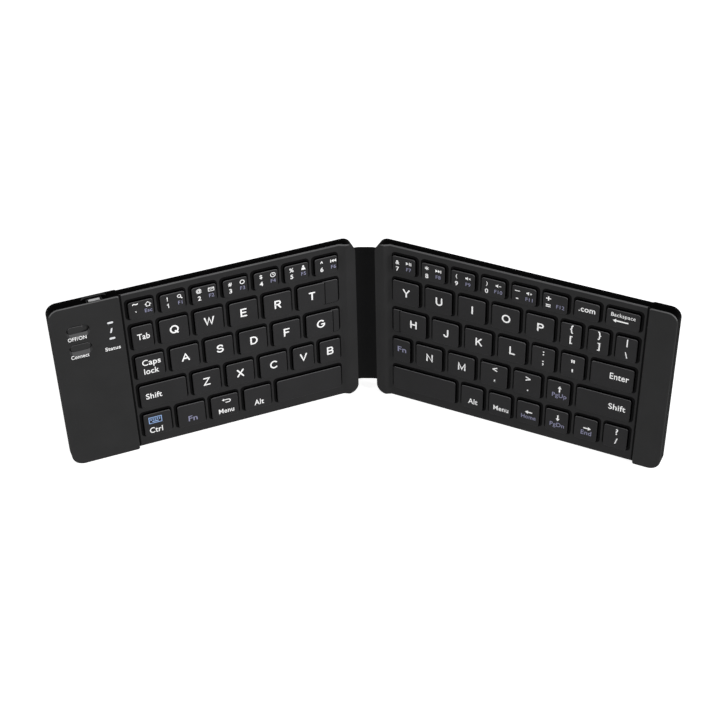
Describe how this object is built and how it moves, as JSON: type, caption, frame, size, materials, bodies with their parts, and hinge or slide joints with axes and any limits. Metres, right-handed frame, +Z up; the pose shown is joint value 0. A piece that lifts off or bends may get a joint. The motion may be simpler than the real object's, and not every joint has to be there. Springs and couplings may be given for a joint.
{
  "type": "folding keyboard",
  "caption": "Pocket keyboard of two slim key panels joined by a flexible strip, with spring keys, end blocks, a slide switch and a charging socket; folds flat or shut.",
  "frame": {"origin": "on the surface that the open keyboard stands on, under the middle of its box", "axes": "+X along the keyboard from its left half to its right half, -Y towards the person it faces (the key side), +Z up, along the hinge strip"},
  "size_m": [0.2844, 0.064, 0.0913],
  "materials": {
    "shell_plastic": "fine matte moulded ABS",
    "deck_plastic": "fine matte moulded ABS",
    "block_plastic": "fine matte moulded ABS",
    "key_plastic": "matte moulded keycap with white printed legends",
    "control_plastic": "matte moulded plastic",
    "strip_leather": "soft black synthetic leather over rubber",
    "dome_rubber": "translucent silicone",
    "membrane_film": "printed polyester film",
    "steel": "thin sheet steel",
    "foot_rubber": "black rubber",
    "screw_steel": "zinc-plated steel",
    "magnet": "nickel-plated magnet",
    "battery_pouch": "foil pouch",
    "board": "circuit board with solder mask",
    "socket_metal": "bright stamped steel",
    "light_window": "frosted white light guide",
    "ribbon_film": "amber polyimide ribbon"
  },
  "bodies": {
    "left_half": {"bottom_shell_left": "shell_plastic", "deck_left": "deck_plastic", "block_cover_left": "block_plastic", "dome_sheet_left": "dome_rubber", "membrane_left": "membrane_film", "steel_plate_left": "steel", "feet_left": "foot_rubber", "screws_left": "screw_steel", "magnets_left": "magnet", "battery": "battery_pouch", "main_board": "board", "charging_socket": "socket_metal", "status_lights": "light_window", "strip_end_left": "strip_leather"},
    "strip": {"strip_middle": "strip_leather", "ribbon_cable": "ribbon_film"},
    "right_half": {"bottom_shell_right": "shell_plastic", "deck_right": "deck_plastic", "block_cover_right": "block_plastic", "dome_sheet_right": "dome_rubber", "membrane_right": "membrane_film", "steel_plate_right": "steel", "feet_right": "foot_rubber", "screws_right": "screw_steel", "magnets_right": "magnet", "strip_end_right": "strip_leather"},
    "power_switch": {"power_switch_knob": "control_plastic"},
    "connect_button": {"connect_button": "control_plastic"},
    "key_q": {"key_q": "key_plastic"},
    "key_w": {"key_w": "key_plastic"},
    "key_e": {"key_e": "key_plastic"},
    "key_r": {"key_r": "key_plastic"},
    "key_t": {"key_t": "key_plastic"},
    "key_a": {"key_a": "key_plastic"},
    "key_s": {"key_s": "key_plastic"},
    "key_d": {"key_d": "key_plastic"},
    "key_f": {"key_f": "key_plastic"},
    "key_g": {"key_g": "key_plastic"},
    "key_z": {"key_z": "key_plastic"},
    "key_x": {"key_x": "key_plastic"},
    "key_c": {"key_c": "key_plastic"},
    "key_v": {"key_v": "key_plastic"},
    "key_b": {"key_b": "key_plastic"},
    "space_left": {"space_left": "key_plastic"},
    "number_keys_left": {"number_keys_left": "key_plastic"},
    "command_keys_left": {"command_keys_left": "key_plastic"},
    "key_y": {"key_y": "key_plastic"},
    "key_u": {"key_u": "key_plastic"},
    "key_i": {"key_i": "key_plastic"},
    "key_o": {"key_o": "key_plastic"},
    "key_p": {"key_p": "key_plastic"},
    "key_h": {"key_h": "key_plastic"},
    "key_j": {"key_j": "key_plastic"},
    "key_k": {"key_k": "key_plastic"},
    "key_l": {"key_l": "key_plastic"},
    "key_n": {"key_n": "key_plastic"},
    "key_m": {"key_m": "key_plastic"},
    "space_right": {"space_right": "key_plastic"},
    "number_keys_right": {"number_keys_right": "key_plastic"},
    "command_keys_right": {"command_keys_right": "key_plastic"}
  },
  "joints": [
    {"name": "left_fold", "type": "hinge", "parent": "left_half", "child": "strip", "pos_m": [-0.00395, 0.03053, 0.04565], "axis": [0, 0, -1], "range_deg": [-23.3, 66.7]},
    {"name": "right_fold", "type": "hinge", "parent": "strip", "child": "right_half", "pos_m": [0.00395, 0.03053, 0.04565], "axis": [0, 0, -1], "range_deg": [-23.3, 66.7]},
    {"name": "power_switch_slide", "type": "slide", "parent": "left_half", "child": "power_switch", "axis": [0.9184, 0.3955, 0], "range_m": [0, 0.0022]},
    {"name": "connect_press", "type": "slide", "parent": "left_half", "child": "connect_button", "axis": [-0.3955, 0.9184, 0], "range_m": [0, 0.0004], "stiffness_N_per_m": 2500, "springref_m": -0.0001},
    {"name": "key_q_press", "type": "slide", "parent": "left_half", "child": "key_q", "axis": [-0.3955, 0.9184, 0], "range_m": [0, 0.001], "stiffness_N_per_m": 400, "springref_m": -0.0005, "deforming": ["dome_sheet_left"]},
    {"name": "key_w_press", "type": "slide", "parent": "left_half", "child": "key_w", "axis": [-0.3955, 0.9184, 0], "range_m": [0, 0.001], "stiffness_N_per_m": 400, "springref_m": -0.0005, "deforming": ["dome_sheet_left"]},
    {"name": "key_e_press", "type": "slide", "parent": "left_half", "child": "key_e", "axis": [-0.3955, 0.9184, 0], "range_m": [0, 0.001], "stiffness_N_per_m": 400, "springref_m": -0.0005, "deforming": ["dome_sheet_left"]},
    {"name": "key_r_press", "type": "slide", "parent": "left_half", "child": "key_r", "axis": [-0.3955, 0.9184, 0], "range_m": [0, 0.001], "stiffness_N_per_m": 400, "springref_m": -0.0005, "deforming": ["dome_sheet_left"]},
    {"name": "key_t_press", "type": "slide", "parent": "left_half", "child": "key_t", "axis": [-0.3955, 0.9184, 0], "range_m": [0, 0.001], "stiffness_N_per_m": 400, "springref_m": -0.0005, "deforming": ["dome_sheet_left"]},
    {"name": "key_a_press", "type": "slide", "parent": "left_half", "child": "key_a", "axis": [-0.3955, 0.9184, 0], "range_m": [0, 0.001], "stiffness_N_per_m": 400, "springref_m": -0.0005, "deforming": ["dome_sheet_left"]},
    {"name": "key_s_press", "type": "slide", "parent": "left_half", "child": "key_s", "axis": [-0.3955, 0.9184, 0], "range_m": [0, 0.001], "stiffness_N_per_m": 400, "springref_m": -0.0005, "deforming": ["dome_sheet_left"]},
    {"name": "key_d_press", "type": "slide", "parent": "left_half", "child": "key_d", "axis": [-0.3955, 0.9184, 0], "range_m": [0, 0.001], "stiffness_N_per_m": 400, "springref_m": -0.0005, "deforming": ["dome_sheet_left"]},
    {"name": "key_f_press", "type": "slide", "parent": "left_half", "child": "key_f", "axis": [-0.3955, 0.9184, 0], "range_m": [0, 0.001], "stiffness_N_per_m": 400, "springref_m": -0.0005, "deforming": ["dome_sheet_left"]},
    {"name": "key_g_press", "type": "slide", "parent": "left_half", "child": "key_g", "axis": [-0.3955, 0.9184, 0], "range_m": [0, 0.001], "stiffness_N_per_m": 400, "springref_m": -0.0005, "deforming": ["dome_sheet_left"]},
    {"name": "key_z_press", "type": "slide", "parent": "left_half", "child": "key_z", "axis": [-0.3955, 0.9184, 0], "range_m": [0, 0.001], "stiffness_N_per_m": 400, "springref_m": -0.0005, "deforming": ["dome_sheet_left"]},
    {"name": "key_x_press", "type": "slide", "parent": "left_half", "child": "key_x", "axis": [-0.3955, 0.9184, 0], "range_m": [0, 0.001], "stiffness_N_per_m": 400, "springref_m": -0.0005, "deforming": ["dome_sheet_left"]},
    {"name": "key_c_press", "type": "slide", "parent": "left_half", "child": "key_c", "axis": [-0.3955, 0.9184, 0], "range_m": [0, 0.001], "stiffness_N_per_m": 400, "springref_m": -0.0005, "deforming": ["dome_sheet_left"]},
    {"name": "key_v_press", "type": "slide", "parent": "left_half", "child": "key_v", "axis": [-0.3955, 0.9184, 0], "range_m": [0, 0.001], "stiffness_N_per_m": 400, "springref_m": -0.0005, "deforming": ["dome_sheet_left"]},
    {"name": "key_b_press", "type": "slide", "parent": "left_half", "child": "key_b", "axis": [-0.3955, 0.9184, 0], "range_m": [0, 0.001], "stiffness_N_per_m": 400, "springref_m": -0.0005, "deforming": ["dome_sheet_left"]},
    {"name": "space_left_press", "type": "slide", "parent": "left_half", "child": "space_left", "axis": [-0.3955, 0.9184, 0], "range_m": [0, 0.001], "stiffness_N_per_m": 400, "springref_m": -0.0005, "deforming": ["dome_sheet_left"]},
    {"name": "number_keys_left_press", "type": "slide", "parent": "left_half", "child": "number_keys_left", "axis": [-0.3955, 0.9184, 0], "range_m": [0, 0.001], "stiffness_N_per_m": 2800, "springref_m": -0.0005, "deforming": ["dome_sheet_left"]},
    {"name": "command_keys_left_press", "type": "slide", "parent": "left_half", "child": "command_keys_left", "axis": [-0.3955, 0.9184, 0], "range_m": [0, 0.001], "stiffness_N_per_m": 2800, "springref_m": -0.0005, "deforming": ["dome_sheet_left"]},
    {"name": "key_y_press", "type": "slide", "parent": "right_half", "child": "key_y", "axis": [0.3955, 0.9184, 0], "range_m": [0, 0.001], "stiffness_N_per_m": 400, "springref_m": -0.0005, "deforming": ["dome_sheet_right"]},
    {"name": "key_u_press", "type": "slide", "parent": "right_half", "child": "key_u", "axis": [0.3955, 0.9184, 0], "range_m": [0, 0.001], "stiffness_N_per_m": 400, "springref_m": -0.0005, "deforming": ["dome_sheet_right"]},
    {"name": "key_i_press", "type": "slide", "parent": "right_half", "child": "key_i", "axis": [0.3955, 0.9184, 0], "range_m": [0, 0.001], "stiffness_N_per_m": 400, "springref_m": -0.0005, "deforming": ["dome_sheet_right"]},
    {"name": "key_o_press", "type": "slide", "parent": "right_half", "child": "key_o", "axis": [0.3955, 0.9184, 0], "range_m": [0, 0.001], "stiffness_N_per_m": 400, "springref_m": -0.0005, "deforming": ["dome_sheet_right"]},
    {"name": "key_p_press", "type": "slide", "parent": "right_half", "child": "key_p", "axis": [0.3955, 0.9184, 0], "range_m": [0, 0.001], "stiffness_N_per_m": 400, "springref_m": -0.0005, "deforming": ["dome_sheet_right"]},
    {"name": "key_h_press", "type": "slide", "parent": "right_half", "child": "key_h", "axis": [0.3955, 0.9184, 0], "range_m": [0, 0.001], "stiffness_N_per_m": 400, "springref_m": -0.0005, "deforming": ["dome_sheet_right"]},
    {"name": "key_j_press", "type": "slide", "parent": "right_half", "child": "key_j", "axis": [0.3955, 0.9184, 0], "range_m": [0, 0.001], "stiffness_N_per_m": 400, "springref_m": -0.0005, "deforming": ["dome_sheet_right"]},
    {"name": "key_k_press", "type": "slide", "parent": "right_half", "child": "key_k", "axis": [0.3955, 0.9184, 0], "range_m": [0, 0.001], "stiffness_N_per_m": 400, "springref_m": -0.0005, "deforming": ["dome_sheet_right"]},
    {"name": "key_l_press", "type": "slide", "parent": "right_half", "child": "key_l", "axis": [0.3955, 0.9184, 0], "range_m": [0, 0.001], "stiffness_N_per_m": 400, "springref_m": -0.0005, "deforming": ["dome_sheet_right"]},
    {"name": "key_n_press", "type": "slide", "parent": "right_half", "child": "key_n", "axis": [0.3955, 0.9184, 0], "range_m": [0, 0.001], "stiffness_N_per_m": 400, "springref_m": -0.0005, "deforming": ["dome_sheet_right"]},
    {"name": "key_m_press", "type": "slide", "parent": "right_half", "child": "key_m", "axis": [0.3955, 0.9184, 0], "range_m": [0, 0.001], "stiffness_N_per_m": 400, "springref_m": -0.0005, "deforming": ["dome_sheet_right"]},
    {"name": "space_right_press", "type": "slide", "parent": "right_half", "child": "space_right", "axis": [0.3955, 0.9184, 0], "range_m": [0, 0.001], "stiffness_N_per_m": 400, "springref_m": -0.0005, "deforming": ["dome_sheet_right"]},
    {"name": "number_keys_right_press", "type": "slide", "parent": "right_half", "child": "number_keys_right", "axis": [0.3955, 0.9184, 0], "range_m": [0, 0.001], "stiffness_N_per_m": 3200, "springref_m": -0.0005, "deforming": ["dome_sheet_right"]},
    {"name": "command_keys_right_press", "type": "slide", "parent": "right_half", "child": "command_keys_right", "axis": [0.3955, 0.9184, 0], "range_m": [0, 0.001], "stiffness_N_per_m": 6800, "springref_m": -0.0005, "deforming": ["dome_sheet_right"]}
  ],
  "couplings": [
    {"joint": "right_fold", "follows": "left_fold", "ratio": 1}
  ]
}
